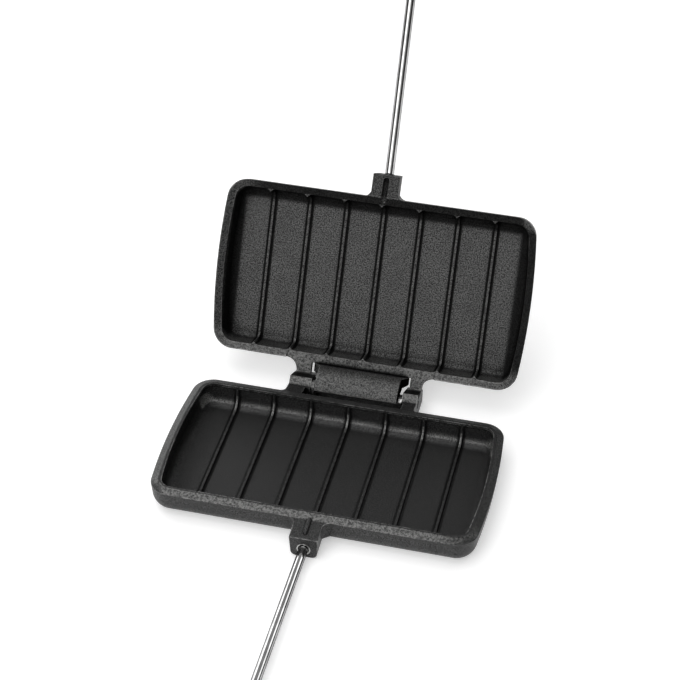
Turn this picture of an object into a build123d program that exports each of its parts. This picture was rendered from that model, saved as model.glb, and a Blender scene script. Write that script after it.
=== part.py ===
from build123d import *
import os
from math import atan2, cos, degrees, radians, sin, tan

# Double cast-iron pie iron: two long-handled plates joined by a hinge.
# Millimetres. Origin: centre of the lower plate's flat base. +Z is up and
# +Y points from the handles towards the hinge. Stored open, lid on its stop.

# Plates, seen from above
PLATE_WIDTH = 230.0        # X, at the middle of the bowed short ends
PLATE_DEPTH = 125.0        # Y, over the straight long sides
END_BOW = 4.1              # how far the short ends bow outward
CORNER_RADIUS = 15.0
WALL_DRAFT = 5.3           # degrees, outer wall
BASE_EDGE_RADIUS = 12.0

# Heights and depths, all from the rim's outer edge
LOWER_HEIGHT = 19.5        # down to the flat base
UPPER_HEIGHT = 22.0        # up to the lid's flat top
LOWER_POCKET_DEPTH = 16.0
UPPER_POCKET_DEPTH = 18.4

# Rims: the lower one stands up inside, the upper one is hollow to match
RIM_WIDTH = 4.8
RIM_RISE = 1.8
CLOSED_GAP = 0.3           # left between the two rims when shut

# Pocket and its cooking ribs
POCKET_DRAFT = 7.0         # degrees
LOWER_FLOOR_RADIUS = 7.5
UPPER_FLOOR_RADIUS = 3.5
RIB_COUNT = 7
RIB_PITCH = 27.25
RIB_WIDTH = 1.7            # flat crest
RIB_HEIGHT = 1.9
RIB_DRAFT = 3.5            # degrees, flanks of the lanes between ribs
LANE_CORNER_RADIUS = 4.0
LANE_FLOOR_RADIUS = 1.8

# Handle boss on the front of each plate
BOSS_OFFSET = 1.2          # X of the handle's centre line
BOSS_REACH = 16.5          # beyond the rim
BOSS_ROOT_WIDTH = 19.4
BOSS_FRONT_WIDTH = 20.0
BOSS_FRONT_DROP = 2.2      # how far its face falls away from the rim
BOSS_BOTTOM = 19.0         # depth of its underside
BOSS_DRAFT = 3.5
BOSS_CORNER_RADIUS = 4.0    # its lower long edges
BOSS_EDGE_RADIUS = 1.2
BOSS_ROOT_RADIUS = 5.0
WEB_ANGLE = 38.0           # lean of the webs' rounded undersides
FLARE_SINK = 0.05          # keeps the flares' thin tips inside the wall
SOCKET_DEPTH = 12.0        # depth of the rod's axis below the rim
SOCKET_LENGTH = 14.0
SOCKET_RADIUS = 4.6
RIDGE_OVERLAP = 2.0        # how far the ridge runs into the rim
RIDGE_RADIUS = 1.8         # half-round guide ridge on the lower boss
RIDGE_SINK = 0.6           # its axis below the boss face
RIDGE_LENGTH = 15.0
GROOVE_RADIUS = 2.1        # half-round groove for it in the upper boss
GROOVE_OVERLAP = 6.0
GROOVE_LENGTH = 20.6

# Hinge: a pin through two lugs, held by a hook on the lid
HINGE_REACH = 17.6         # pin axis beyond the rim
HINGE_DROP = 8.3           # pin axis below the rim
OPEN_ANGLE = 117.5         # from shut to the stop
PIN_RADIUS = 3.175
PIN_END_INSET = 0.6
PIN_BORE_CLEARANCE = 0.02
LEFT_LUG_INNER = 32.4      # faces beside the hook
RIGHT_LUG_INNER = 34.4
LEFT_LUG_OUTER = 48.6
RIGHT_LUG_OUTER = 45.4
LEFT_LUG_FLARE = 4.0       # radius of the outer root
RIGHT_LUG_FLARE = 2.0
LUG_POCKET_INNER = 36.0    # wider beside the plate, for the hook's root
LUG_POCKET_REACH = 9.5     # how far that wider pocket runs from the rim
LUG_SHELF_REACH = 12.0     # low front shelf of the lug
LUG_SHELF_DROP = 3.0
LUG_CREST_REACH = 16.4
LUG_BACK_REACH = 36.0      # back face of the lug's foot
LUG_EDGE_RADIUS = 0.8
LUG_WEB_THICKNESS = 2.5    # floor that joins the two lugs under the hook
HUB_RADIUS = 7.8           # hub round the pin on the left lug's inner side
HUB_INNER = 30.0           # its inner face
HUB_OUTER = 38.8
LEFT_PAD_INNER = 37.2      # the lid's two stop pads
LEFT_PAD_OUTER = 47.8
RIGHT_PAD_INNER = 36.4
RIGHT_PAD_OUTER = 45.0
PAD_REACH = 9.5
PAD_THICKNESS = 7.0        # up from the rim's outer edge
PAD_ROOT_RADIUS = 8.6
STOP_GAP = 0.25            # left between a pad and its lug when open
HOOK_ROOT_HALF = 34.8      # half width where the hook leaves the lid
HOOK_LEFT_END = 29.4       # its narrow jaw, on each side
HOOK_RIGHT_END = 31.4
HOOK_CORNER_RADIUS = 3.0
HOOK_TAPER_START = 1.8     # above the rim, where it begins to narrow
HOOK_TAPER_END = -4.0      # where it is narrow
HOOK_ROOT_GAP = 1.5        # from the rim line to the hook's outer face
HOOK_PIN_CLEARANCE = 0.5
HOOK_JAW_THICKNESS = 4.3
HOOK_END_ANGLE = 18.0      # how far the jaw's inside wraps past the bottom
HOOK_WEB_THICKNESS = 7.5
HOOK_BELLY_REACH = 11.0    # a point on the outer bend, before the pin axis
HOOK_BELLY_DROP = 4.0

# Rods and grips
ROD_RADIUS = 3.175
BUSH_LENGTH = 12.0
BUSH_LIP = 0.4
BUSH_MOUTH_RADIUS = 3.9    # wider mouth round the rod
BUSH_MOUTH_DEPTH = 3.0
ROD_FREE_LENGTH = 430.0    # from boss to stop collar
GRIP_RADIUS = 9.3
GRIP_END_RADIUS = 8.3
GRIP_LENGTH = 115.0
GRIP_SWELL = 0.62          # widest point, as a share of the bare wood
GRIP_END_LENGTH = 4.0      # rounded end
GRIP_END_BULGE = 0.9
GRIP_TABLE_CLEARANCE = 0.45
COLLAR_RADIUS = 5.2
COLLAR_LENGTH = 5.0
COLLAR_CHAMFER = 0.6
FERRULE_RADIUS = 8.4
FERRULE_LENGTH = 12.0
FERRULE_WALL = 0.8
WASHER_RADIUS = 6.5
WASHER_THICKNESS = 1.2
NUT_FLATS = 11.0
NUT_HEX_LENGTH = 5.0
NUT_DOME_RADIUS = 4.9
THREAD_IN_NUT = 6.0
SLIP = 0.05                # radial clearance of rod through ring and wood

HALF_DEPTH = PLATE_DEPTH / 2
AXIS_Y = HALF_DEPTH + HINGE_REACH
RIM_LEVEL = LOWER_HEIGHT
AXIS_Z = RIM_LEVEL - HINGE_DROP
BOSS_FRONT_Y = -(HALF_DEPTH + BOSS_REACH)
SOCKET_Y = BOSS_FRONT_Y + SOCKET_DEPTH * tan(radians(WALL_DRAFT))
ROD_RISE = degrees(atan2(
    GRIP_RADIUS + GRIP_TABLE_CLEARANCE - (LOWER_HEIGHT - SOCKET_DEPTH),
    ROD_FREE_LENGTH + COLLAR_LENGTH + GRIP_LENGTH / 2,
))


def plate_outline(inset=0.0):
    """Rounded rectangle with bowed short ends, drawn in from the rim."""
    corner_x = PLATE_WIDTH / 2 - END_BOW - inset
    end_x = PLATE_WIDTH / 2 - inset
    side_y = HALF_DEPTH - inset
    edges = [
        ThreePointArc((corner_x, -side_y), (end_x, 0), (corner_x, side_y)),
        Line((corner_x, side_y), (-corner_x, side_y)),
        ThreePointArc((-corner_x, side_y), (-end_x, 0), (-corner_x, -side_y)),
        Line((-corner_x, -side_y), (corner_x, -side_y)),
    ]
    face = make_face(edges)
    return fillet(face.vertices(), CORNER_RADIUS - inset)


def shell_block(height):
    """Solid block of one plate below its rim, with the rounded base edge."""
    block = extrude(plate_outline(), height, dir=(0, 0, -1), taper=WALL_DRAFT)
    base_edges = block.edges().group_by(Axis.Z)[0]
    return fillet(base_edges, BASE_EDGE_RADIUS)


def rim_ramp(inset=0.0):
    """The sloping ring of the rim as a low solid that rises inwards."""
    slope = degrees(atan2(RIM_WIDTH, RIM_RISE))
    return extrude(plate_outline(inset), RIM_RISE, taper=slope)


def smooth_pocket(inset, depth, floor_radius):
    """Pocket tool without ribs, open above the rim."""
    mouth = plate_outline(inset)
    pocket = extrude(mouth, depth, dir=(0, 0, -1), taper=POCKET_DRAFT)
    pocket = fillet(pocket.edges().group_by(Axis.Z)[0], floor_radius)
    return pocket + extrude(mouth, RIM_RISE + 1.0)


def lane_tools(depth, full_pocket):
    """The lanes between the cooking ribs, as tools with rounded ends."""
    lane_span = RIB_PITCH - RIB_WIDTH + 2 * depth * tan(radians(RIB_DRAFT))
    lane_length = PLATE_DEPTH - 2 * RIM_WIDTH
    end_run = PLATE_WIDTH / 2
    lanes = []
    for index in range(RIB_COUNT + 1):
        centre = (index - RIB_COUNT / 2) * RIB_PITCH
        extra = end_run if index in (0, RIB_COUNT) else 0.0
        shift = extra / 2 if index == RIB_COUNT else -extra / 2
        plan = RectangleRounded(lane_span + extra, lane_length, LANE_CORNER_RADIUS)
        lane = extrude(Pos(centre + shift, 0) * plan, depth, dir=(0, 0, -1), taper=RIB_DRAFT)
        lane = fillet(lane.edges().group_by(Axis.Z)[0], LANE_FLOOR_RADIUS)
        lanes.append(lane & full_pocket)
    return lanes


def ribbed_pocket(depth, floor_radius):
    """Pocket tool that leaves the ribs on the floor and both long walls."""
    full = smooth_pocket(RIM_WIDTH, depth, floor_radius)
    pocket = smooth_pocket(RIM_WIDTH + RIB_HEIGHT, depth - RIB_HEIGHT, floor_radius)
    for lane in lane_tools(depth, full):
        pocket += lane
    return pocket


def boss_flares():
    """Curved webs from the boss's sides into the wall, rounded below as it is."""
    root = BOSS_ROOT_WIDTH / 2
    tip = root + BOSS_ROOT_RADIUS
    wall_y = -HALF_DEPTH + FLARE_SINK
    front_y = wall_y - BOSS_ROOT_RADIUS
    middle = BOSS_ROOT_RADIUS * (1 - cos(radians(45)))
    edges = [
        Line((-tip, 0), (-tip, wall_y)),
        ThreePointArc((-tip, wall_y), (-root - middle, wall_y - middle), (-root, front_y)),
        Line((-root, front_y), (root, front_y)),
        ThreePointArc((root, front_y), (root + middle, wall_y - middle), (tip, wall_y)),
        Line((tip, wall_y), (tip, 0)),
        Line((tip, 0), (-tip, 0)),
    ]
    webs = extrude(make_face(edges), BOSS_BOTTOM, dir=(0, 0, -1), taper=WALL_DRAFT)
    about = Pos(tip, -HALF_DEPTH, 0)
    limit = about * Rot(0, 0, WEB_ANGLE) * about.inverse() * shell_block(LOWER_HEIGHT)
    right = webs & limit & (Pos(tip, -HALF_DEPTH, 0) * Box(2 * tip, 2 * tip, 2 * LOWER_HEIGHT))
    return right + mirror(right, Plane.YZ)


def boss_block():
    """Handle boss below the rim plane, its face falling away to the front."""
    front = BOSS_FRONT_WIDTH / 2
    spread = (BOSS_ROOT_WIDTH - BOSS_FRONT_WIDTH) / 2
    back = front + spread * (BOSS_REACH + BASE_EDGE_RADIUS) / BOSS_REACH
    back_y = BASE_EDGE_RADIUS - HALF_DEPTH
    plan = make_face(Polyline(
        (-back, back_y), (-front, BOSS_FRONT_Y), (front, BOSS_FRONT_Y), (back, back_y),
        close=True,
    ))
    block = extrude(plan, BOSS_BOTTOM, dir=(0, 0, -1), taper=BOSS_DRAFT)
    bottom = block.edges().group_by(Axis.Z)[0]
    block = fillet(bottom.filter_by(lambda edge: abs(edge.tangent_at(0.5).Y) > 0.9),
                   BOSS_CORNER_RADIUS)
    block = fillet(block.edges().group_by(Axis.Y)[0].group_by(Axis.Z)[0], BOSS_EDGE_RADIUS)
    block += boss_flares()
    run = BOSS_REACH + 1.0
    side = make_face(Polyline(
        (-HALF_DEPTH, 0), (-HALF_DEPTH - run, -BOSS_FRONT_DROP * run / BOSS_REACH),
        (-HALF_DEPTH - run, 1), (-HALF_DEPTH, 1), close=True,
    ))
    block -= extrude(Plane.YZ * side, BOSS_ROOT_WIDTH, both=True)
    return Pos(BOSS_OFFSET, 0, 0) * block


def guide_bar(radius, length, sink, overlap):
    """Round-ended bar along the boss face, from just inside the rim outwards."""
    fall = degrees(atan2(BOSS_FRONT_DROP, BOSS_REACH))
    middle = overlap - length / 2
    bar = Rot(90, 0, 0) * Cylinder(radius, length - 2 * radius)
    bar += Pos(0, radius - length / 2, 0) * Sphere(radius)
    bar += Pos(0, length / 2 - radius, 0) * Sphere(radius)
    return Pos(BOSS_OFFSET, -HALF_DEPTH, 0) * Rot(fall, 0, 0) * Pos(0, middle, -sink) * bar


def lower_handle(shape):
    """Place a handle piece on the lower boss, its Z running outwards."""
    height = RIM_LEVEL - SOCKET_DEPTH
    return Pos(BOSS_OFFSET, SOCKET_Y, height) * Rot(90 - ROD_RISE, 0, 0) * shape


def upper_handle_shut(shape):
    """The same on the upper boss, while the iron is shut."""
    height = RIM_LEVEL + CLOSED_GAP + SOCKET_DEPTH
    return Pos(BOSS_OFFSET, SOCKET_Y, height) * Rot(90 + ROD_RISE, 0, 0) * shape


def lug_profile():
    """Side view of a hinge lug about the pin axis, as (Y, Z)."""
    stop = radians(OPEN_ANGLE - 90)
    seat = HINGE_REACH - PAD_REACH - STOP_GAP
    crest_y = LUG_CREST_REACH - HINGE_REACH
    back_y = LUG_BACK_REACH - HINGE_REACH
    foot_z = HINGE_DROP - LOWER_HEIGHT

    def seat_z(y):
        return (seat - y * sin(stop)) / cos(stop)

    face = make_face(Polyline(
        (-HINGE_REACH - RIM_WIDTH / 2, HINGE_DROP),
        (-HINGE_REACH, HINGE_DROP),
        (LUG_SHELF_REACH - HINGE_REACH, HINGE_DROP - LUG_SHELF_DROP),
        (crest_y, seat_z(crest_y)),
        (back_y, seat_z(back_y)),
        (back_y, foot_z),
        (-HINGE_REACH - RIM_WIDTH, foot_z),
        close=True,
    ))
    rounded = [v for v in face.vertices() if v.X > crest_y - 0.01 and v.Y > foot_z + 1]
    return fillet(rounded, LUG_EDGE_RADIUS)


def hinge_lug(side, inner, outer, flare):
    """One lug of the lower plate; side is -1 for left and +1 for right."""
    profile = Pos(0, AXIS_Y, AXIS_Z) * (Plane.YZ * lug_profile())
    middle = flare * (1 - cos(radians(45)))
    wall_y = HALF_DEPTH - FLARE_SINK
    end_y = HALF_DEPTH + 2 * LUG_BACK_REACH
    edges = [
        Line((inner, 0), (outer + flare, 0)),
        Line((outer + flare, 0), (outer + flare, wall_y)),
        ThreePointArc((outer + flare, wall_y), (outer + middle, wall_y + middle),
                      (outer, wall_y + flare)),
        Line((outer, wall_y + flare), (outer, end_y)),
        Line((outer, end_y), (inner, end_y)),
        Line((inner, end_y), (inner, 0)),
    ]
    plan = extrude(make_face(edges), 2 * RIM_LEVEL)
    if side < 0:
        plan = mirror(plan, Plane.YZ)
    lug = extrude(profile, 2 * LEFT_LUG_OUTER, both=True) & (Pos(0, 0, -1) * plan)
    relief = Box(2 * LUG_POCKET_INNER, 2 * LUG_POCKET_REACH, 4 * LOWER_HEIGHT)
    return lug - Pos(0, HALF_DEPTH, 0) * relief


def lug_web():
    """Thin floor between the lugs, level with the plate's base."""
    start = HALF_DEPTH - BASE_EDGE_RADIUS
    depth = HALF_DEPTH + LUG_BACK_REACH - start
    web = Box(2 * LUG_POCKET_INNER, depth, LUG_WEB_THICKNESS,
              align=(Align.CENTER, Align.MIN, Align.MIN))
    return Pos(0, start, 0) * web


def cross_rod(radius, x_from, x_to):
    """Cylinder on the pin axis between two X positions."""
    length = x_to - x_from
    return Pos((x_from + x_to) / 2, AXIS_Y, AXIS_Z) * Rot(0, 90, 0) * Cylinder(radius, length)


def lower_iron():
    """Lower plate: tray, boss with guide ridge, and the two hinge lugs."""
    body = Pos(0, 0, RIM_LEVEL) * (shell_block(LOWER_HEIGHT) + boss_block() + rim_ramp())
    body += hinge_lug(-1, LEFT_LUG_INNER, LEFT_LUG_OUTER, LEFT_LUG_FLARE)
    body += hinge_lug(1, RIGHT_LUG_INNER, RIGHT_LUG_OUTER, RIGHT_LUG_FLARE)
    body += lug_web() + cross_rod(HUB_RADIUS, -HUB_OUTER, -HUB_INNER)
    body -= Pos(0, 0, RIM_LEVEL) * ribbed_pocket(LOWER_POCKET_DEPTH, LOWER_FLOOR_RADIUS)
    body += Pos(0, 0, RIM_LEVEL) * guide_bar(RIDGE_RADIUS, RIDGE_LENGTH, RIDGE_SINK,
                                                  RIDGE_OVERLAP)
    body -= lower_handle(Cylinder(SOCKET_RADIUS, 2 * SOCKET_LENGTH))
    bore = PIN_RADIUS + PIN_BORE_CLEARANCE
    return body - cross_rod(bore, -LEFT_LUG_OUTER - 1, RIGHT_LUG_OUTER + 1)


def tab_half_width():
    """Half width of the lid's flat hinge-side face."""
    return (LEFT_PAD_OUTER + RIGHT_PAD_OUTER) / 2 + PAD_ROOT_RADIUS


def lid_pads():
    """Tab behind the lid's rim with its two stop pads; the rim is at Z 0."""
    pad_y = HALF_DEPTH + PAD_REACH
    wall_y = HALF_DEPTH - FLARE_SINK
    start_y = HALF_DEPTH - RIM_WIDTH
    root_y = wall_y + PAD_ROOT_RADIUS
    middle = PAD_ROOT_RADIUS * (1 - cos(radians(45)))
    left, right = -LEFT_PAD_OUTER, RIGHT_PAD_OUTER
    edges = [
        Line((left - PAD_ROOT_RADIUS, start_y), (left - PAD_ROOT_RADIUS, wall_y)),
        ThreePointArc((left - PAD_ROOT_RADIUS, wall_y), (left - middle, wall_y + middle),
                      (left, root_y)),
        Line((left, root_y), (left, pad_y)),
        Line((left, pad_y), (right, pad_y)),
        Line((right, pad_y), (right, root_y)),
        ThreePointArc((right, root_y), (right + middle, wall_y + middle),
                      (right + PAD_ROOT_RADIUS, wall_y)),
        Line((right + PAD_ROOT_RADIUS, wall_y), (right + PAD_ROOT_RADIUS, start_y)),
        Line((right + PAD_ROOT_RADIUS, start_y), (left - PAD_ROOT_RADIUS, start_y)),
    ]
    notch = Rectangle(LEFT_PAD_INNER + RIGHT_PAD_INNER, 2 * PAD_REACH)
    notch_x = (RIGHT_PAD_INNER - LEFT_PAD_INNER) / 2
    plan = make_face(edges) - Pos(notch_x, HALF_DEPTH + PAD_REACH + HOOK_ROOT_GAP) * notch
    return Pos(0, 0, RIM_RISE) * extrude(plan, PAD_THICKNESS - RIM_RISE)


def tab_face_cut():
    """Tool that grinds the lid's hinge-side face flat, level with its inner edge."""
    back_y = HALF_DEPTH + PAD_REACH
    cut = Box(2 * tab_half_width(), RIM_WIDTH + PAD_REACH, RIM_RISE,
              align=(Align.CENTER, Align.MAX, Align.MIN))
    return Pos((RIGHT_PAD_OUTER - LEFT_PAD_OUTER) / 2, back_y, 0) * cut


def hook_profile():
    """Side view of the lid's hook about the pin axis when shut, as (Y, Z)."""
    inner = PIN_RADIUS + HOOK_PIN_CLEARANCE
    outer = inner + HOOK_JAW_THICKNESS
    back_y = -HINGE_REACH - RIM_WIDTH / 2
    face_y = -HINGE_REACH + HOOK_ROOT_GAP
    web_y = face_y + HOOK_WEB_THICKNESS
    rim_z = HINGE_DROP + CLOSED_GAP + RIM_RISE
    turn_z = HINGE_DROP - LUG_SHELF_DROP
    top_z = HINGE_DROP + CLOSED_GAP + PAD_THICKNESS
    diagonal = inner * cos(radians(45))
    end = (inner * sin(radians(HOOK_END_ANGLE)), -inner * cos(radians(HOOK_END_ANGLE)))
    edges = [
        Line((back_y, rim_z), (face_y, rim_z)),
        Line((face_y, rim_z), (face_y, turn_z)),
        ThreePointArc((face_y, turn_z), (-HOOK_BELLY_REACH, -HOOK_BELLY_DROP), (0, -outer)),
        Line((0, -outer), end),
        ThreePointArc(end, (-diagonal, -diagonal), (-inner, 0)),
        Line((-inner, 0), (web_y, rim_z)),
        Line((web_y, rim_z), (web_y, top_z)),
        Line((web_y, top_z), (back_y, top_z)),
        Line((back_y, top_z), (back_y, rim_z)),
    ]
    return make_face(edges)


def hook_plan():
    """The hook from above: wide at its root, a narrow jaw with round end corners."""
    root_y = HALF_DEPTH + HOOK_WEB_THICKNESS
    jaw_y = root_y + HOOK_ROOT_GAP
    back_y = HALF_DEPTH - RIM_WIDTH
    end_y = AXIS_Y + HOOK_CORNER_RADIUS / 2
    plan = make_face(Polyline(
        (-HOOK_ROOT_HALF, back_y), (-HOOK_ROOT_HALF, root_y), (-HOOK_LEFT_END, jaw_y),
        (-HOOK_LEFT_END, end_y), (HOOK_RIGHT_END, end_y),
        (HOOK_RIGHT_END, jaw_y), (HOOK_ROOT_HALF, root_y), (HOOK_ROOT_HALF, back_y),
        close=True,
    ))
    return fillet(plan.vertices().group_by(Axis.Y)[-1], HOOK_CORNER_RADIUS)


def hook_front():
    """The hook seen along Y, narrowing below its root; a solid across the hinge."""
    wide_z = RIM_LEVEL + CLOSED_GAP + HOOK_TAPER_START
    narrow_z = RIM_LEVEL + CLOSED_GAP + HOOK_TAPER_END
    top_z = 2 * RIM_LEVEL
    front = make_face(Polyline(
        (-HOOK_ROOT_HALF, top_z), (-HOOK_ROOT_HALF, wide_z), (-HOOK_LEFT_END, narrow_z),
        (-HOOK_LEFT_END, 0), (HOOK_RIGHT_END, 0),
        (HOOK_RIGHT_END, narrow_z), (HOOK_ROOT_HALF, wide_z), (HOOK_ROOT_HALF, top_z),
        close=True,
    ))
    return extrude(Plane.XZ * front, 2 * AXIS_Y, both=True)


def lid_hook():
    """The hook in its shut place, cut to its outlines."""
    profile = Pos(0, AXIS_Y, AXIS_Z) * (Plane.YZ * hook_profile())
    hook = extrude(profile, HOOK_ROOT_HALF + HOOK_CORNER_RADIUS, both=True)
    return hook & extrude(hook_plan(), 2 * RIM_LEVEL) & hook_front()


def upper_iron_shut():
    """Upper plate in its shut place, above the lower plate."""
    shell = mirror(shell_block(UPPER_HEIGHT) + boss_block(), Plane.XY)
    shell += lid_pads()
    shut = Pos(0, 0, RIM_LEVEL + CLOSED_GAP)
    body = shut * (shell - tab_face_cut()) + lid_hook()
    body -= shut * rim_ramp()
    pocket = ribbed_pocket(UPPER_POCKET_DEPTH, UPPER_FLOOR_RADIUS)
    body -= shut * mirror(pocket, Plane.XY)
    groove = guide_bar(GROOVE_RADIUS, GROOVE_LENGTH, 0, GROOVE_OVERLAP)
    body -= shut * mirror(groove, Plane.XY)
    return body - upper_handle_shut(Cylinder(SOCKET_RADIUS, 2 * SOCKET_LENGTH))


def swing_open(shape):
    """Turn a piece of the lid from shut to the open stop."""
    hinge = Axis((0, AXIS_Y, AXIS_Z), (1, 0, 0))
    return shape.rotate(hinge, -OPEN_ANGLE)


def hinge_pin():
    """Steel pin, its ends just inside the lugs' outer faces."""
    left = PIN_END_INSET - LEFT_LUG_OUTER
    return cross_rod(PIN_RADIUS, left, RIGHT_LUG_OUTER - PIN_END_INSET)


# Handle pieces, drawn along +Z from the boss face outwards
COLLAR_START = ROD_FREE_LENGTH
GRIP_START = COLLAR_START + COLLAR_LENGTH
GRIP_STOP = GRIP_START + GRIP_LENGTH
NUT_START = GRIP_STOP + WASHER_THICKNESS


def ring(outer, inner, start, length):
    """Plain ring on the rod's axis."""
    tube = Cylinder(outer, length, align=(Align.CENTER, Align.CENTER, Align.MIN))
    hole = Cylinder(inner, 3 * length)
    return Pos(0, 0, start) * (tube - hole)


def rod():
    """Straight rod from inside the boss to inside the cap nut."""
    length = SOCKET_LENGTH + NUT_START + THREAD_IN_NUT
    bar = Cylinder(ROD_RADIUS, length, align=(Align.CENTER, Align.CENTER, Align.MIN))
    return Pos(0, 0, -SOCKET_LENGTH) * bar


def socket_bush():
    """Bush that fills the socket round the rod, with a lip and a wider mouth."""
    bush = ring(SOCKET_RADIUS, ROD_RADIUS, -BUSH_LENGTH, BUSH_LENGTH + BUSH_LIP)
    mouth = ring(BUSH_MOUTH_RADIUS, ROD_RADIUS, -BUSH_MOUTH_DEPTH, BUSH_LENGTH)
    return bush - mouth


def stop_collar():
    """Collar pressed on the rod in front of the grip."""
    collar = ring(COLLAR_RADIUS, ROD_RADIUS, COLLAR_START, COLLAR_LENGTH)
    circles = collar.edges().filter_by(GeomType.CIRCLE)
    rims = circles.filter_by(lambda edge: edge.radius > (ROD_RADIUS + COLLAR_RADIUS) / 2)
    return chamfer(rims, COLLAR_CHAMFER)


def grip():
    """Turned wooden grip: neck in the ferrule, swelling, rounded end."""
    neck = FERRULE_RADIUS - FERRULE_WALL
    bore = ROD_RADIUS + SLIP
    shoulder = GRIP_START + FERRULE_LENGTH
    swell = shoulder + GRIP_SWELL * (GRIP_LENGTH - FERRULE_LENGTH)
    end = GRIP_STOP - GRIP_END_LENGTH
    bend = GRIP_STOP - GRIP_END_LENGTH / 3
    edges = [
        Line((bore, GRIP_START + FERRULE_WALL), (neck, GRIP_START + FERRULE_WALL)),
        Line((neck, GRIP_START + FERRULE_WALL), (neck, shoulder)),
        Line((neck, shoulder), (FERRULE_RADIUS, shoulder)),
        ThreePointArc((FERRULE_RADIUS, shoulder), (GRIP_RADIUS, swell), (GRIP_END_RADIUS, end)),
        ThreePointArc((GRIP_END_RADIUS, end), (GRIP_END_RADIUS - GRIP_END_BULGE, bend),
                      (WASHER_RADIUS, GRIP_STOP)),
        Line((WASHER_RADIUS, GRIP_STOP), (bore, GRIP_STOP)),
        Line((bore, GRIP_STOP), (bore, GRIP_START + FERRULE_WALL)),
    ]
    return revolve(Plane.XZ * make_face(edges), Axis.Z)


def ferrule():
    """Drawn steel cap over the front of the grip."""
    cap = ring(FERRULE_RADIUS, ROD_RADIUS + SLIP, GRIP_START, FERRULE_LENGTH)
    inside = Cylinder(FERRULE_RADIUS - FERRULE_WALL, FERRULE_LENGTH,
                      align=(Align.CENTER, Align.CENTER, Align.MIN))
    return cap - Pos(0, 0, GRIP_START + FERRULE_WALL) * inside


def end_washer():
    """Flat washer between grip and nut."""
    return ring(WASHER_RADIUS, ROD_RADIUS + SLIP, GRIP_STOP, WASHER_THICKNESS)


def cap_nut():
    """Domed nut on the rod's threaded end."""
    hexagon = extrude(RegularPolygon(NUT_FLATS / 2, 6, major_radius=False), NUT_HEX_LENGTH)
    dome = Pos(0, 0, NUT_HEX_LENGTH) * Sphere(NUT_DOME_RADIUS, arc_size1=0)
    bore = Cylinder(ROD_RADIUS, 2 * THREAD_IN_NUT)
    return Pos(0, 0, NUT_START) * (hexagon + dome - bore)


HANDLE_PIECES = {
    "rod": rod,
    "socket_bush": socket_bush,
    "stop_collar": stop_collar,
    "ferrule": ferrule,
    "grip": grip,
    "end_washer": end_washer,
    "cap_nut": cap_nut,
}


def build():
    """All nodes by name, the lid's nodes swung to the open stop."""
    nodes = {"lower_iron": lower_iron(), "hinge_pin": hinge_pin()}
    nodes["upper_iron"] = swing_open(upper_iron_shut())
    for name, make in HANDLE_PIECES.items():
        nodes["lower_" + name] = lower_handle(make())
        nodes["upper_" + name] = swing_open(upper_handle_shut(make()))
    return nodes


os.makedirs("parts", exist_ok=True)
for node, shape in build().items():
    export_step(shape, f"parts/{node}.step")
    box = shape.bounding_box()
    print(f"{node:20s} volume {shape.volume:10.1f}  z {box.min.Z:8.2f} to {box.max.Z:8.2f}")
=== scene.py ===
# %% [markdown]
# # Dressing a cast-iron pie iron
# The imported model already has every casting, rod and grip at its real size. Blender's work here is the
# finish: black iron that was cast in sand, then ground on its rims and worn bright where it is handled.
# First the imported model is loaded as a fixed frame.

# %% Load the frame
from math import radians

import bmesh
import bpy
from mathutils import Matrix, Vector

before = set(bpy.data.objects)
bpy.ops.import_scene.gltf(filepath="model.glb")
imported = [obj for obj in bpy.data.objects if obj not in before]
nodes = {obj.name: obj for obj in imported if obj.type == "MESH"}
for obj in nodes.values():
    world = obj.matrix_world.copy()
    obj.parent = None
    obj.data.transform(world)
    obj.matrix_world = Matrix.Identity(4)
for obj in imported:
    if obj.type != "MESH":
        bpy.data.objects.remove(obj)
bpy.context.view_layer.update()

# %% [markdown]
# The photograph looks down at the open iron from the front and a little from the right, with a long lens.
# The camera's place was solved from the plates' outlines, so it is written here as a real place in metres.

# %% Camera
camera_data = bpy.data.cameras.new("camera")
camera_data.lens = 101.8
camera_data.sensor_width = 36.0
camera_data.clip_end = 50.0
camera = bpy.data.objects.new("camera", camera_data)
camera.location = (0.2260, -0.9570, 0.9018)
camera.rotation_euler = (radians(51.62), radians(-0.61), radians(13.43))
bpy.context.scene.collection.objects.link(camera)
bpy.context.scene.camera = camera
bpy.context.scene.view_settings.view_transform = "Standard"
print("camera distance:", round(camera.location.length, 3))

# %% [markdown]
# Every material and the world are made of nodes, so two short helpers keep the recipes readable: one adds
# a node with its settings, values and links, and one does arithmetic on sockets or plain numbers.

# %% Helpers for node trees
def add(tree, kind, links=None, values=None, **settings):
    """Add a shader node, then set its settings, its values and its incoming links."""
    new = tree.nodes.new("ShaderNode" + kind)
    for key, value in settings.items():
        setattr(new, key, value)
    for key, value in (values or {}).items():
        new.inputs[key].default_value = value
    for key, socket in (links or {}).items():
        tree.links.new(socket, new.inputs[key])
    return new


def calc(tree, operation, first, second=0.0, third=0.0):
    """One Math node; each term is a socket or a number."""
    new = tree.nodes.new("ShaderNodeMath")
    new.operation = operation
    for slot, term in zip(new.inputs, (first, second, third)):
        if isinstance(term, bpy.types.NodeSocket):
            tree.links.new(term, slot)
        else:
            slot.default_value = term
    return new.outputs[0]


print("helpers: add, calc")

# %% [markdown]
# The recipes are mostly masks, which are 1 where a finish belongs and 0 elsewhere. These helpers make soft
# borders, join masks, mix colours and give noise.

# %% Helpers for masks and colours
def ramp(tree, socket, low, high, start=0.0, end=1.0):
    """Smoothly take low...high to start...end."""
    new = add(tree, "MapRange", {"Value": socket}, {
        "From Min": low, "From Max": high, "To Min": start, "To Max": end,
    }, interpolation_type="SMOOTHSTEP")
    return new.outputs["Result"]


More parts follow.
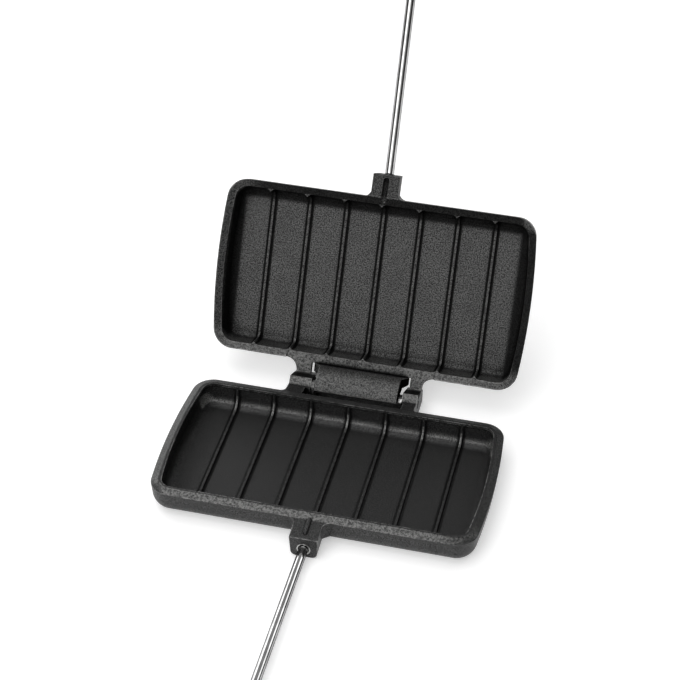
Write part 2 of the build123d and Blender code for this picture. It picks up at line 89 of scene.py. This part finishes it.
def product(tree, *terms):
    """Multiply several masks."""
    total = terms[0]
    for term in terms[1:]:
        total = calc(tree, "MULTIPLY", total, term)
    return total


def highest(tree, *terms):
    """The highest of several masks."""
    total = terms[0]
    for term in terms[1:]:
        total = calc(tree, "MAXIMUM", total, term)
    return total


def invert(tree, mask):
    """1 minus a mask."""
    return calc(tree, "SUBTRACT", 1.0, mask)


def band(tree, socket, low, high, soft):
    """1 between two values, with soft ends outside them."""
    rise = ramp(tree, socket, low - soft, low)
    return product(tree, rise, ramp(tree, socket, high + soft, high))


def blend(tree, share, first, second):
    """Mix two colours; each is a socket or an (r, g, b)."""
    new = add(tree, "Mix", {"Factor": share}, data_type="RGBA")
    colour_slots = (new.inputs[6], new.inputs[7])
    for slot, term in zip(colour_slots, (first, second)):
        if isinstance(term, bpy.types.NodeSocket):
            tree.links.new(term, slot)
        else:
            slot.default_value = (*term, 1)
    return new.outputs[2]


def stops(tree, socket, points):
    """A colour ramp of greys, given as (position, brightness)."""
    new = add(tree, "ValToRGB", {"Fac": socket})
    marks = new.color_ramp.elements
    while len(marks) < len(points):
        marks.new(0.5)
    for mark, (position, grey) in zip(marks, points):
        mark.position = position
        mark.color = (grey, grey, grey, 1)
    return new.outputs["Color"]


def speckle(tree, place, scale, detail=2.0, rough=0.5):
    """Plain noise from 0 to 1."""
    new = add(tree, "TexNoise", {"Vector": place},
              {"Scale": scale, "Detail": detail, "Roughness": rough})
    return new.outputs["Fac"]


print("helpers: ramp, product, highest, invert, band, blend, stops, speckle")

# %% [markdown]
# Black iron and bright rods show mostly what they mirror, so the surroundings matter as much as the colour.
# They are bright overhead and in front, dimmer behind and dark at the sides, which gives the rods their
# dark lines and leaves the lower pocket deep. Two small bright panels behind add the rods' bright bands.

# %% Surroundings
SKY_STRENGTH = 1.15
SKY_ACROSS = ((0.0, 0.03), (0.12, 0.10), (0.24, 0.80), (0.36, 1.0),
              (0.60, 0.95), (0.72, 0.45), (0.86, 0.05), (1.0, 0.03))    # left to right
SKY_ALONG = ((0.0, 0.90), (0.25, 1.0), (0.55, 0.95), (0.75, 0.48),
             (0.86, 0.30), (0.95, 0.12), (1.0, 0.05))                   # front to back
PANELS = (((-0.64, 0.70, 0.32), 0.955, 2.2),      # direction, how close counts as on it, strength
          ((0.50, 0.72, 0.48), 0.984, 2.0))

world = bpy.data.worlds.new("surroundings")
bpy.context.scene.world = world
world.use_nodes = True
sky = world.node_tree
sky.nodes.clear()
direction = add(sky, "TexCoord").outputs["Generated"]
split = add(sky, "SeparateXYZ", {0: direction})
across = calc(sky, "MULTIPLY_ADD", split.outputs["X"], 0.5, 0.5)
along = calc(sky, "MULTIPLY_ADD", split.outputs["Y"], 0.5, 0.5)
layers = {0: stops(sky, across, SKY_ACROSS), 1: stops(sky, along, SKY_ALONG)}
level = add(sky, "VectorMath", layers, operation="MULTIPLY").outputs[0]
for toward, near, strength in PANELS:
    facing = add(sky, "VectorMath", {0: direction}, {1: toward}, operation="DOT_PRODUCT")
    panel = ramp(sky, facing.outputs["Value"], near - 0.02, near + 0.01, 0.0, strength)
    level = add(sky, "VectorMath", {0: level, 1: panel}, operation="ADD").outputs[0]
glow = add(sky, "Background", {"Color": level}, {"Strength": SKY_STRENGTH})
add(sky, "OutputWorld", {"Surface": glow.outputs[0]})
print("surroundings:", len(sky.nodes), "nodes,", len(PANELS), "panels")

# %% [markdown]
# Two soft lamps on the left, one overhead and one in front, make the faint shadows.

# %% Lamps
def soft_lamp(name, place, target, size, power):
    """A square area lamp that faces a point."""
    lamp_data = bpy.data.lights.new(name, "AREA")
    lamp_data.shape = "SQUARE"
    lamp_data.size = size
    lamp_data.energy = power
    lamp = bpy.data.objects.new(name, lamp_data)
    lamp.location = place
    aim = Vector(target) - Vector(place)
    lamp.rotation_euler = aim.to_track_quat("-Z", "Y").to_euler()
    bpy.context.scene.collection.objects.link(lamp)


soft_lamp("overhead", place=(-0.65, 0.10, 2.2), target=(0, 0.05, 0), size=1.8, power=12)
soft_lamp("front", place=(-0.50, -1.9, 1.5), target=(0, 0, 0.05), size=1.5, power=14)

# %% [markdown]
# The floor is a pale matt sheet. Camera and mirror rays see it a little brighter than it is, which lifts it
# to a plain white page and still keeps the soft shadow that holds the iron down.

# %% Floor
FLOOR_HALF = 6.0
FLOOR_COLOUR = (0.86, 0.86, 0.86, 1)
FLOOR_LIFT = 0.38

floor_mesh = bmesh.new()
bmesh.ops.create_grid(floor_mesh, x_segments=1, y_segments=1, size=FLOOR_HALF)
floor_data = bpy.data.meshes.new("floor")
floor_mesh.to_mesh(floor_data)
floor_mesh.free()
floor = bpy.data.objects.new("floor", floor_data)
bpy.context.scene.collection.objects.link(floor)
floor_material = bpy.data.materials.new("pale_floor")
floor_material.use_nodes = True
tree = floor_material.node_tree
tree.nodes.clear()
matt = add(tree, "BsdfDiffuse", values={"Color": FLOOR_COLOUR})
rays = add(tree, "LightPath")
seen = highest(tree, rays.outputs["Is Camera Ray"], rays.outputs["Is Glossy Ray"],
               rays.outputs["Is Transmission Ray"])
lift = add(tree, "Emission", {"Strength": calc(tree, "MULTIPLY", seen, FLOOR_LIFT)})
both = add(tree, "AddShader", {0: matt.outputs[0], 1: lift.outputs[0]})
add(tree, "OutputMaterial", {"Surface": both.outputs[0]})
floor_data.materials.append(floor_material)
print("floor:", 2 * FLOOR_HALF, "m square")

# %% [markdown]
# All recipes for the lid's pieces first turn the point back to where it lies when the iron is shut. Then
# both halves share one set of places: the rim's height, the plate's outline and the handle's direction.

# %% Places on the iron
PIN_PLACE = Vector((0.0, 0.0801, 0.0112))
OPEN_ANGLE = radians(117.5)
LOWER_RIM = 0.0195
UPPER_RIM = 0.0198
RIM_WIDTH = 0.0048
RIM_RISE = 0.0018
RIB_PITCH = 0.02725
PLATE_HALF_X = 0.115
PLATE_HALF_Y = 0.0625
END_BOW = 0.0041
CORNER_RADIUS = 0.015


def shut_place(tree, lid):
    """The shaded point in the shut iron's frame, in metres."""
    place = add(tree, "TexCoord").outputs["Object"]
    if not lid:
        return place
    turn = Matrix.Rotation(OPEN_ANGLE, 3, "X")
    shift = PIN_PLACE - turn @ PIN_PLACE
    turned = add(tree, "Mapping", {"Vector": place}, {
        "Location": shift, "Rotation": (OPEN_ANGLE, 0, 0),
    }, vector_type="POINT")
    return turned.outputs[0]


def plate_inset(tree, x, y):
    """Distance inwards from the plate's rounded outline with its bowed ends."""
    share = calc(tree, "DIVIDE", y, PLATE_HALF_Y)
    bowed = product(tree, share, share, END_BOW)
    over_x = calc(tree, "ADD", calc(tree, "ABSOLUTE", x), CORNER_RADIUS - PLATE_HALF_X)
    over_x = calc(tree, "ADD", over_x, bowed)
    over_y = calc(tree, "ADD", calc(tree, "ABSOLUTE", y), CORNER_RADIUS - PLATE_HALF_Y)
    out_x = calc(tree, "MAXIMUM", over_x, 0.0)
    out_y = calc(tree, "MAXIMUM", over_y, 0.0)
    square = calc(tree, "MULTIPLY_ADD", out_x, out_x, product(tree, out_y, out_y))
    outside = calc(tree, "SQRT", square)
    inside = calc(tree, "MINIMUM", calc(tree, "MAXIMUM", over_x, over_y), 0.0)
    return calc(tree, "SUBTRACT", CORNER_RADIUS, calc(tree, "ADD", outside, inside))


def casting_spot(tree, lid):
    """Where the shaded point lies on its casting, as sockets by name."""
    point = shut_place(tree, lid)
    x, y, z = add(tree, "SeparateXYZ", {0: point}).outputs
    if lid:
        depth = calc(tree, "SUBTRACT", z, UPPER_RIM)
    else:
        depth = calc(tree, "SUBTRACT", LOWER_RIM, z)
    return {"point": point, "x": x, "y": y, "z": z, "side": calc(tree, "ABSOLUTE", x),
            "inset": plate_inset(tree, x, y), "depth": depth}


print("pin axis at", tuple(PIN_PLACE))

# %% [markdown]
# The rim is found by its own sloping plane, so the grinding stays on it and stops at a ragged outer edge.
# The pocket is what lies inside the rim and above the plate's thickness. Most borders below are pairs of
# places in metres: a mask starts at the first and is full at the second, and it is smooth between them. A
# band is full between its two places.

# %% Rim and pocket
OFF_PLANE = (0.00025, 0.00012)
RAGGED_REACH = 0.0042
RAGGED_START = 0.0016
RAGGED_BORDER = (0.0002, 0.0007)
RIM_END = (0.0060, 0.0055)
POCKET_START = (0.0050, 0.0060)
POCKET_TOP = (0.0010, 0.0028)
POCKET_BELOW = 0.0006


def rim_mask(tree, spot, lid, ragged):
    """1 on the rim's sloping plane."""
    slope = RIM_RISE / RIM_WIDTH if lid else -RIM_RISE / RIM_WIDTH
    height = calc(tree, "MULTIPLY_ADD", spot["inset"], -slope, spot["depth"])
    start = calc(tree, "SUBTRACT", spot["inset"], RAGGED_START)
    ragged_inset = calc(tree, "MULTIPLY_ADD", ragged, RAGGED_REACH, start)
    return product(tree, ramp(tree, calc(tree, "ABSOLUTE", height), *OFF_PLANE),
                   ramp(tree, ragged_inset, *RAGGED_BORDER), ramp(tree, spot["inset"], *RIM_END))


def pocket_mask(tree, spot, floor_depth):
    """1 inside the pocket, down to its floor."""
    return product(tree, ramp(tree, spot["inset"], *POCKET_START), ramp(tree, spot["depth"], *POCKET_TOP),
                   ramp(tree, spot["depth"], floor_depth + POCKET_BELOW, floor_depth))


print("rim:", RIM_WIDTH * 1000, "mm wide")

# %% [markdown]
# On the lower casting the rim is ground, brightest at the front as a painted highlight, fainter at the sides
# and faintest at the back as painted shade, and the strip along the crest of each lug is ground too. The
# slope behind the crest, where the lid's pads come down, gets painted shade, and the right rim does in part.
# In the pocket, painted shade lies along both sides of every rib, and the bend at the foot of the far wall
# gets a painted highlight.

# %% Marks on the lower casting
FRONT_RIM_Y = (-0.040, -0.056)
BACK_RIM_Y = (0.054, 0.060)
RIGHT_RIM_X = (0.085, 0.100)
STRIP_Y = (0.0742, 0.0794)
STRIP_SOFT = 0.0003
STRIP_Z = (0.0160, 0.0166)
SEAT_Y = (0.0794, 0.0799)
SEAT_Z = (0.0140, 0.0150)
RIB_SIDE = (0.0013, 0.0025)
RIB_SIDE_SOFT = 0.0005
RIBS_END_X = (0.092, 0.089)
BEND_Y = (0.0455, 0.0540)
BEND_Y_SOFT = 0.0025
BEND_DEPTH = (0.0070, 0.0130)
BEND_DEPTH_SOFT = 0.0015


def lower_marks(tree, spot, rim):
    """Ground share, with a painted highlight on the front rim, and painted-shade share of the lower casting.
    """
    # Painted highlight and shade: the rim's ground share is full at the front, low at the sides and lowest
    # at the back.
    front = ramp(tree, spot["y"], *FRONT_RIM_Y, 0.22, 1.0)
    back = ramp(tree, spot["y"], *BACK_RIM_Y, 1.0, 0.15)
    strip = product(tree, band(tree, spot["y"], *STRIP_Y, STRIP_SOFT), ramp(tree, spot["z"], *STRIP_Z))
    # Painted shade on the seat under the lid's pads and on part of the right rim.
    seat = product(tree, ramp(tree, spot["y"], *SEAT_Y), ramp(tree, spot["z"], *SEAT_Z, 0.0, 0.85))
    right = product(tree, rim, ramp(tree, spot["x"], *RIGHT_RIM_X, 0.0, 0.40))
    return highest(tree, product(tree, rim, front, back), strip), highest(tree, seat, right)


def beside_ribs(tree, spot):
    """1 in a narrow line along each side of every cooking rib."""
    from_rib = calc(tree, "PINGPONG", spot["x"], RIB_PITCH / 2)
    return product(tree, band(tree, from_rib, *RIB_SIDE, RIB_SIDE_SOFT),
                   ramp(tree, spot["side"], *RIBS_END_X))


def far_bend(tree, spot, pocket):
    """1 on the rounded foot of the lower pocket's far wall, where a highlight is painted."""
    return product(tree, band(tree, spot["y"], *BEND_Y, BEND_Y_SOFT),
                   band(tree, spot["depth"], *BEND_DEPTH, BEND_DEPTH_SOFT), pocket)


print("lug strips from", STRIP_Y[0], "to", STRIP_Y[1])

# %% [markdown]
# On the lid the flat tab with its pads, on the hinge side, is ground. The rim beside it and, in part, the
# hook's jaw get ground metal as a painted highlight. The rest of the rim and the hook's root and flanks get
# painted shade, and the boss is darkened. The pocket gets painted shade along three of its walls.

# %% Marks on the lid's casting
TAB_Y = (0.0570, 0.0573)
HINGE_SIDE_Y = (0.044, 0.054)
HINGE_RIM_X = (0.070, 0.100)
LEFT_RIM_X = (-0.085, -0.105)
BOSS_Y = (-0.0630, -0.0640)
HOOK_Y = (0.0626, 0.0634)
HOOK_SIDE = (0.0364, 0.0360)
JAW_Z = (0.0150, 0.0050)
ROOT_Z = (0.0160, 0.0195)
FLANK_Z = (0.0158, 0.0216)
FLANK_SIDE = (0.0306, 0.0340)
FLANK_BORDER = (-0.0002, 0.0004)
FLANK_Y = (0.0644, 0.0650)
FAR_WALL_Y = (-0.0465, -0.0500)
RIGHT_WALL_X = (0.0985, 0.1020)
LEFT_WALL_X = (-0.1010, -0.1040)


def upper_marks(tree, spot, rim):
    """Ground share with painted highlights, and painted-shade share, of the lid's casting."""
    tab_off = calc(tree, "ABSOLUTE", calc(tree, "SUBTRACT", spot["depth"], RIM_RISE))
    tab = product(tree, ramp(tree, tab_off, *OFF_PLANE), ramp(tree, spot["y"], *TAB_Y))
    # Painted highlight on the hook's jaw and painted shade on its root and flanks.
    hook = product(tree, ramp(tree, spot["y"], *HOOK_Y), ramp(tree, spot["side"], *HOOK_SIDE))
    jaw = product(tree, hook, ramp(tree, spot["z"], *JAW_Z, 0.0, 0.50))
    root = product(tree, hook, ramp(tree, spot["z"], *ROOT_Z, 0.0, 0.30))
    beyond = calc(tree, "SUBTRACT", spot["side"], ramp(tree, spot["z"], *FLANK_Z, *FLANK_SIDE))
    flank = product(tree, hook, ramp(tree, beyond, *FLANK_BORDER), ramp(tree, spot["y"], *FLANK_Y))
    # Painted highlight on the hinge-side rim, brighter to the left, and painted shade on the rest of the
    # rim.
    hinge_side = ramp(tree, spot["y"], *HINGE_SIDE_Y)
    bright_rim = product(tree, rim, hinge_side, ramp(tree, spot["x"], *HINGE_RIM_X, 0.60, 0.10))
    dark_rim = product(tree, rim, ramp(tree, spot["x"], *LEFT_RIM_X, 0.80, 0.20), invert(tree, hinge_side))
    boss = ramp(tree, spot["y"], *BOSS_Y, 0.0, 0.40)
    return highest(tree, tab, jaw, bright_rim), highest(tree, flank, root, dark_rim, boss)


def pocket_painted_shade(tree, spot, lid, pocket):
    """Painted shade beside the ribs and, in the lid, along three of its walls."""
    # Painted shade: dark lines along both sides of every rib.
    beside = beside_ribs(tree, spot)
    if not lid:
        return product(tree, pocket, beside, 0.60)
    walls = highest(tree, ramp(tree, spot["y"], *FAR_WALL_Y), ramp(tree, spot["x"], *RIGHT_WALL_X),
                    ramp(tree, spot["x"], *LEFT_WALL_X))
    return product(tree, pocket, highest(tree, walls, beside), 0.85)


print("tab starts at", TAB_Y[0], "hook at", HOOK_Y[0])

# %% [markdown]
# The distance to nearby surfaces finds what the marks leave out. Seen from inside the iron it is short at a
# sharp edge, which wears bright. Seen from outside it is short in a crease and near a wall, where shade is
# painted.

# %% Worn edges and painted shade in creases
EDGE_DISTANCE = 0.0013
CREASE_DISTANCE = 0.0034
WALL_DISTANCE = 0.013


def openness(tree, distance, inside=False):
    """Share of directions that are free of nearby surfaces of the same piece."""
    new = add(tree, "AmbientOcclusion", values={"Distance": distance}, samples=8, inside=inside,
              only_local=True)
    return new.outputs["AO"]


def worn_mask(tree, look, grain, pocket, painted_shade):
    """1 on sharp edges, broken up by noise and faint inside the pocket."""
    return product(tree, ramp(tree, openness(tree, EDGE_DISTANCE, inside=True), 0.78, 0.50),
                   ramp(tree, grain["ragged"], 0.40, 0.56, 0.05, 1.0),
                   ramp(tree, grain["patches"], 0.42, 0.58, 0.25, look["wear"]),
                   ramp(tree, pocket, 0.0, 1.0, 1.0, 0.22), invert(tree, painted_shade))


def unshaded_mask(tree, look, painted_shade, shade):
    """1 where no shade is painted, 0 in creases and under the painted-shade marks, darker near walls."""
    # Painted shade: creases and places near walls are darkened.
    return product(tree, ramp(tree, openness(tree, CREASE_DISTANCE), 0.58, 0.97),
                   ramp(tree, openness(tree, WALL_DISTANCE), 0.42, 0.92, look["wall_light"], 1.0),
                   invert(tree, painted_shade), invert(tree, shade))


print("wear within", EDGE_DISTANCE * 1000, "mm of an edge")

# %% [markdown]
# The skin of the castings is the grain of the sand mould under black oil, finer in the lower tray than in
# the lid. Four noises make it: the sand's grain, softer lumps, large patches and a ragged one for borders.

# %% Colour, shine and relief of the iron
LOWER_LOOK = {"grain": 1700, "skin": (0.018, 0.018, 0.018), "floor_depth": 0.0168,
              "wear": 1.0, "wall_light": 0.45, "relief": 0.45}
LID_LOOK = {"grain": 1150, "skin": (0.072, 0.072, 0.070), "floor_depth": 0.0192,
            "wear": 0.75, "wall_light": 0.10, "relief": 0.80}
GRAIN_RANGE = (0.36, 0.66)
BLACK = (0.003, 0.003, 0.003)
OILED = (0.011, 0.0107, 0.0105)
# Colour of the painted highlight on the lower pocket's far bend.
BEND_HIGHLIGHT = (0.34, 0.34, 0.33)
GROUND_DARK = (0.020, 0.020, 0.020)
GROUND_LIGHT = (0.180, 0.180, 0.176)
BARE = (0.42, 0.42, 0.415)
RELIEF_DISTANCE = 0.00025
PIT_SCALE = 210.0


def casting_grain(tree, point, scale):
    """The four noises of a casting."""
    return {"sand": speckle(tree, point, scale, 3.0, 0.7), "lumps": speckle(tree, point, 620, 3.0, 0.65),
            "patches": speckle(tree, point, 60, 4.0, 0.6), "ragged": speckle(tree, point, 330, 4.0, 0.7)}


def casting_colour(tree, look, grain, bend_highlight, ground_and_highlight, worn):
    """Skin, then ground metal over it, partly a painted highlight, then bare metal on the worn edges."""
    grit = ramp(tree, grain["sand"], *GRAIN_RANGE)
    skin = blend(tree, grit, BLACK, look["skin"])
    # Painted highlight on the lower pocket's far bend.
    if bend_highlight is not None:
        skin = blend(tree, product(tree, bend_highlight, grit), skin, BEND_HIGHLIGHT)
    skin = blend(tree, ramp(tree, grain["patches"], 0.40, 0.70, 0.0, 0.5), skin, OILED)
    mottle = calc(tree, "MULTIPLY_ADD", grain["lumps"], 0.7, product(tree, grain["sand"], 0.3))
    ground = blend(tree, ramp(tree, mottle, 0.38, 0.62), GROUND_DARK, GROUND_LIGHT)
    colour = blend(tree, ground_and_highlight, skin, ground)
    return blend(tree, product(tree, worn, 0.8), colour, BARE)


def casting_relief(tree, look, grain, point):
    """Sand grain, softer lumps and rare pits."""
    pits = add(tree, "TexVoronoi", {"Vector": point}, {"Scale": PIT_SCALE, "Randomness": 1.0})
    pit = ramp(tree, pits.outputs["Distance"], 0.06, 0.16)
    height = calc(tree, "MULTIPLY_ADD", grain["lumps"], 0.8, grain["sand"])
    height = calc(tree, "MULTIPLY_ADD", pit, 0.7, height)
    relief = add(tree, "Bump", {"Height": height},
                 {"Strength": look["relief"], "Distance": RELIEF_DISTANCE})
    return relief.outputs["Normal"]


print("grain scales:", LOWER_LOOK["grain"], LID_LOOK["grain"])

# %% [markdown]
# The material joins these parts. The painted shade neither shines nor scatters much, so it is a black matt
# shader of its own, and the two are mixed by how unshaded the place is.

# %% Cast iron
def iron_material(name, lid):
    """Black cast iron with ground rims, worn edges, painted highlights and painted shade."""
    material = bpy.data.materials.new(name)
    material.use_nodes = True
    tree = material.node_tree
    shader = tree.nodes["Principled BSDF"]
    look = LID_LOOK if lid else LOWER_LOOK
    spot = casting_spot(tree, lid)
    grain = casting_grain(tree, spot["point"], look["grain"])
    pocket = pocket_mask(tree, spot, look["floor_depth"])
    rim = rim_mask(tree, spot, lid, grain["ragged"])
    if lid:
        ground_and_highlight, painted_shade = upper_marks(tree, spot, rim)
        bend_highlight = None
    else:
        ground_and_highlight, painted_shade = lower_marks(tree, spot, rim)
        bend_highlight = far_bend(tree, spot, pocket)
    worn = worn_mask(tree, look, grain, pocket, painted_shade)
    unshaded = unshaded_mask(tree, look, painted_shade, pocket_painted_shade(tree, spot, lid, pocket))

    skin_rough = ramp(tree, grain["lumps"], 0.30, 0.70, 0.36, 0.50)
    made = {
        "Base Color": casting_colour(tree, look, grain, bend_highlight, ground_and_highlight, worn),
        "Roughness": calc(tree, "MULTIPLY_ADD", ground_and_highlight, 0.06, skin_rough),
        "Metallic": highest(tree, product(tree, worn, 0.7), product(tree, ground_and_highlight, 0.35)),
        "Specular IOR Level": ramp(tree, grain["sand"], *GRAIN_RANGE, 0.12, 0.85),
        "Normal": casting_relief(tree, look, grain, spot["point"]),
    }
    for slot, socket in made.items():
        tree.links.new(socket, shader.inputs[slot])
    # Painted shade: a black matt shader that darkens creases, walls and the shaded marks.
    painted_shade_shader = add(tree, "BsdfDiffuse", values={"Color": (*BLACK, 1)})
    mixed = add(tree, "MixShader", {0: unshaded, 1: painted_shade_shader.outputs[0], 2: shader.outputs[0]})
    tree.links.new(mixed.outputs[0], tree.nodes["Material Output"].inputs["Surface"])
    return material


lower_cast = iron_material("lower_cast_iron", False)
upper_cast = iron_material("upper_cast_iron", True)
print("iron:", lower_cast.name, upper_cast.name)

# %% [markdown]
# The rods are polished and plated, with faint streaks along them. The bushes, collars, ferrules, washers and
# nuts are the same steel with a brushed finish. The hinge pin is plain steel, rubbed bright by the hook.

# %% Steel
ALONG_HANDLE = (1.0, 0.02, 1.0)     # squeezes the noise into marks along the handle


def steel_material(name, lid, colour, rough, streak, edge_tint):
    """Steel with fine marks that run along the handle's direction."""
    material = bpy.data.materials.new(name)
    material.use_nodes = True
    tree = material.node_tree
    shader = tree.nodes["Principled BSDF"]
    place = shut_place(tree, lid)
    drawn = add(tree, "VectorMath", {0: place}, {1: ALONG_HANDLE}, operation="MULTIPLY")
    lines = speckle(tree, drawn.outputs[0], 2600, 2.0)
    smudge = speckle(tree, place, 90, 3.0)
    darker = tuple(0.72 * part for part in colour)
    tint = blend(tree, ramp(tree, smudge, 0.35, 0.70), colour, darker)
    tree.links.new(tint, shader.inputs["Base Color"])
    shine = ramp(tree, lines, 0.3, 0.7, rough, rough + streak)
    shine = calc(tree, "ADD", shine, ramp(tree, smudge, 0.4, 0.7, 0.0, streak))
    tree.links.new(shine, shader.inputs["Roughness"])
    shader.inputs["Metallic"].default_value = 1.0
    shader.inputs["Specular Tint"].default_value = (edge_tint, edge_tint, edge_tint, 1)
    relief = add(tree, "Bump", {"Height": lines}, {"Strength": 0.10, "Distance": 0.00005})
    tree.links.new(relief.outputs["Normal"], shader.inputs["Normal"])
    return material


PLATED = {"colour": (0.55, 0.55, 0.55), "rough": 0.06, "streak": 0.04, "edge_tint": 0.0}
BRUSHED = {"colour": (0.55, 0.55, 0.54), "rough": 0.22, "streak": 0.12, "edge_tint": 0.5}
PIN = {"colour": (0.50, 0.495, 0.49), "rough": 0.24, "streak": 0.15, "edge_tint": 0.5}

rod_steel = {half: steel_material(f"{half}_plated_rod", half == "upper", **PLATED)
             for half in ("lower", "upper")}
fitting_steel = {half: steel_material(f"{half}_fitting", half == "upper", **BRUSHED)
                 for half in ("lower", "upper")}
pin_steel = steel_material("pin_steel", False, **PIN)
print("steel:", len(rod_steel) + len(fitting_steel) + 1)

# %% [markdown]
# The grips are turned from pale hardwood. Stretched noise gives the grain along the handle, wavy bands give
# its figure, and short dark flecks are the pores. A thin oil finish keeps a soft shine.

# %% Wood
FIBRE_STRETCH = (1.0, 0.07, 1.0)
FIGURE_STRETCH = (1.0, 0.12, 1.0)
PORE_STRETCH = (1.0, 0.10, 1.0)
WOOD_DARK_BAND = (0.42, 0.235, 0.105)
WOOD_LIGHT_BAND = (0.56, 0.345, 0.17)
WOOD_FIBRE = (0.36, 0.19, 0.08)
WOOD_PORE = (0.16, 0.08, 0.035)


def wood_material(name, lid):
    """Turned hardwood with its grain along the handle."""
    material = bpy.data.materials.new(name)
    material.use_nodes = True
    tree = material.node_tree
    shader = tree.nodes["Principled BSDF"]
    place = shut_place(tree, lid)
    grain_place = add(tree, "VectorMath", {0: place}, {1: FIBRE_STRETCH}, operation="MULTIPLY")
    fibre = speckle(tree, grain_place.outputs[0], 900, 4.0, 0.6)
    figure_place = add(tree, "VectorMath", {0: place}, {1: FIGURE_STRETCH}, operation="MULTIPLY")
    figure = add(tree, "TexWave", {"Vector": figure_place.outputs[0]}, {
        "Scale": 70.0, "Distortion": 5.0, "Detail": 2.0, "Detail Scale": 1.5,
    }, wave_type="BANDS", bands_direction="DIAGONAL")
    pore_place = add(tree, "VectorMath", {0: place}, {1: PORE_STRETCH}, operation="MULTIPLY")
    pores = speckle(tree, pore_place.outputs[0], 3200, 1.0)
    base = blend(tree, ramp(tree, figure.outputs["Fac"], 0.1, 0.9), WOOD_DARK_BAND, WOOD_LIGHT_BAND)
    base = blend(tree, ramp(tree, fibre, 0.35, 0.65, 0.0, 0.5), base, WOOD_FIBRE)
    base = blend(tree, ramp(tree, pores, 0.62, 0.70, 0.0, 0.7), base, WOOD_PORE)
    tree.links.new(base, shader.inputs["Base Color"])
    tree.links.new(ramp(tree, fibre, 0.3, 0.7, 0.36, 0.52), shader.inputs["Roughness"])
    height = calc(tree, "MULTIPLY_ADD", pores, -0.6, fibre)
    relief = add(tree, "Bump", {"Height": height}, {"Strength": 0.25, "Distance": 0.0001})
    tree.links.new(relief.outputs["Normal"], shader.inputs["Normal"])
    return material


grip_wood = {"lower": wood_material("lower_grip_wood", False),
             "upper": wood_material("upper_grip_wood", True)}
print("wood:", [m.name for m in grip_wood.values()])

# %% [markdown]
# Each piece takes its finish by name. The two grips, rods and sets of fittings have their own copies, since
# the lid's pieces lie at another angle.

# %% Give every piece its finish
for name, piece in nodes.items():
    half, _, kind = name.partition("_")
    if name == "hinge_pin":
        finish = pin_steel
    elif kind == "iron":
        finish = upper_cast if half == "upper" else lower_cast
    elif kind == "grip":
        finish = grip_wood[half]
    elif kind == "rod":
        finish = rod_steel[half]
    else:
        finish = fitting_steel[half]
    piece.data.materials.clear()
    piece.data.materials.append(finish)
print("finishes:", sorted({piece.data.materials[0].name for piece in nodes.values()}))
